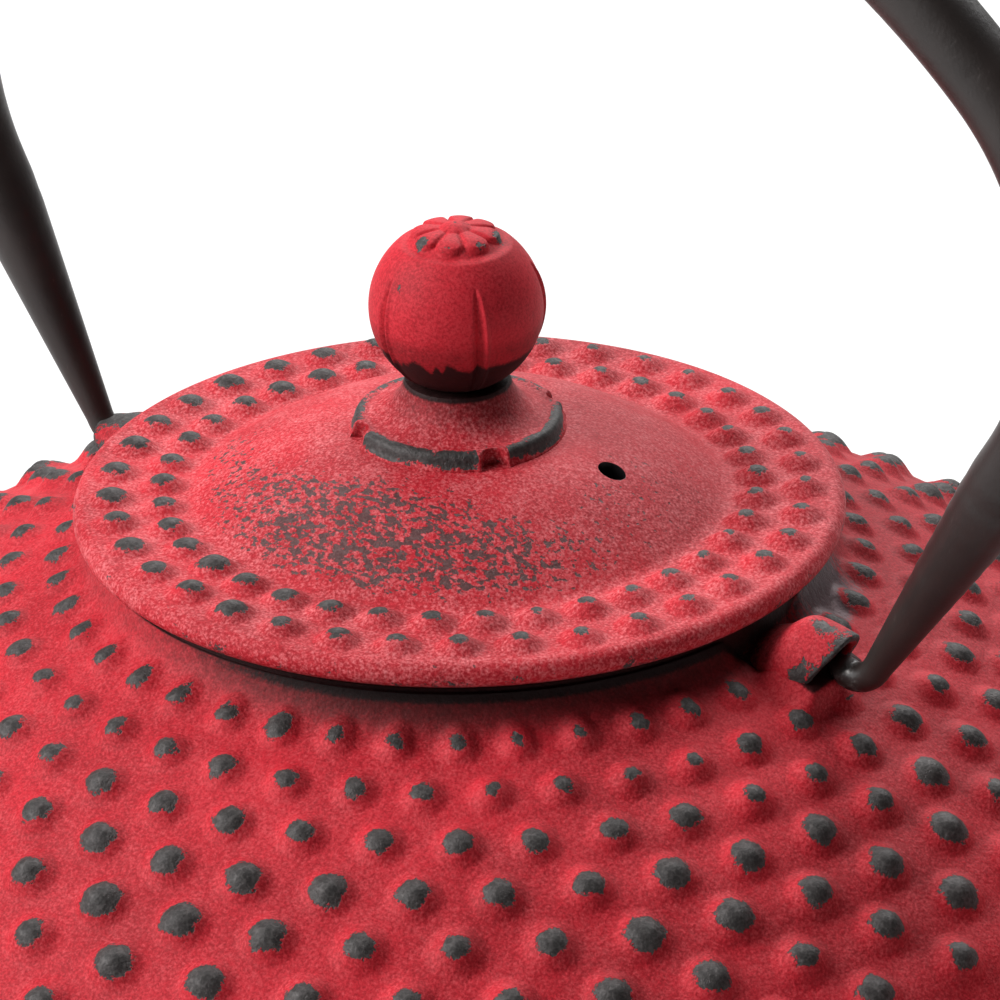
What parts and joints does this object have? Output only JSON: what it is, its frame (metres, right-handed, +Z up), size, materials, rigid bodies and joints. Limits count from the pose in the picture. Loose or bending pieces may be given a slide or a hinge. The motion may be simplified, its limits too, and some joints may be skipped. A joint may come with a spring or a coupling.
{
  "type": "cast iron teapot",
  "caption": "Round hobnail cast iron teapot with a short spout, domed lift-off lid with a ball knob, a tea strainer inside and a swinging steel bail handle.",
  "frame": {"origin": "centre of the flat foot, on the pot's vertical axis, in the plane of the table", "axes": "+Z up; +X from the pot's axis towards the spout, along the handle's swing axis; +Y to the left of the spout seen from behind the pot"},
  "size_m": [0.2101, 0.178, 0.1842],
  "materials": {
    "painted_iron": "matte red paint over sandy cast iron, worn to dark grey iron on the hobnails",
    "rivet_steel": "dull",
    "strainer_steel": "satin stainless",
    "handle_steel": "satin black lacquer on swaged steel"
  },
  "bodies": {
    "pot": {"pot": "painted_iron"},
    "basket": {"basket_rim": "strainer_steel", "basket_wall": "strainer_steel", "basket_floor": "strainer_steel"},
    "lid": {"lid": "painted_iron", "knob_seat": "painted_iron", "knob_ball": "painted_iron", "knob_stud": "rivet_steel", "knob_washer": "rivet_steel"},
    "handle": {"handle": "handle_steel"}
  },
  "joints": [
    {"name": "basket_lift", "type": "slide", "parent": "pot", "child": "basket", "axis": [0, 0, 1], "range_m": [0, 0.046]},
    {"name": "lid_lift", "type": "slide", "parent": "basket", "child": "lid", "axis": [0, 0, 1], "range_m": [0, 0.046]},
    {"name": "handle_swing", "type": "hinge", "parent": "pot", "child": "handle", "pos_m": [0, 0, 0.0865], "axis": [1, 0, 0], "range_deg": [-94, 98]}
  ]
}
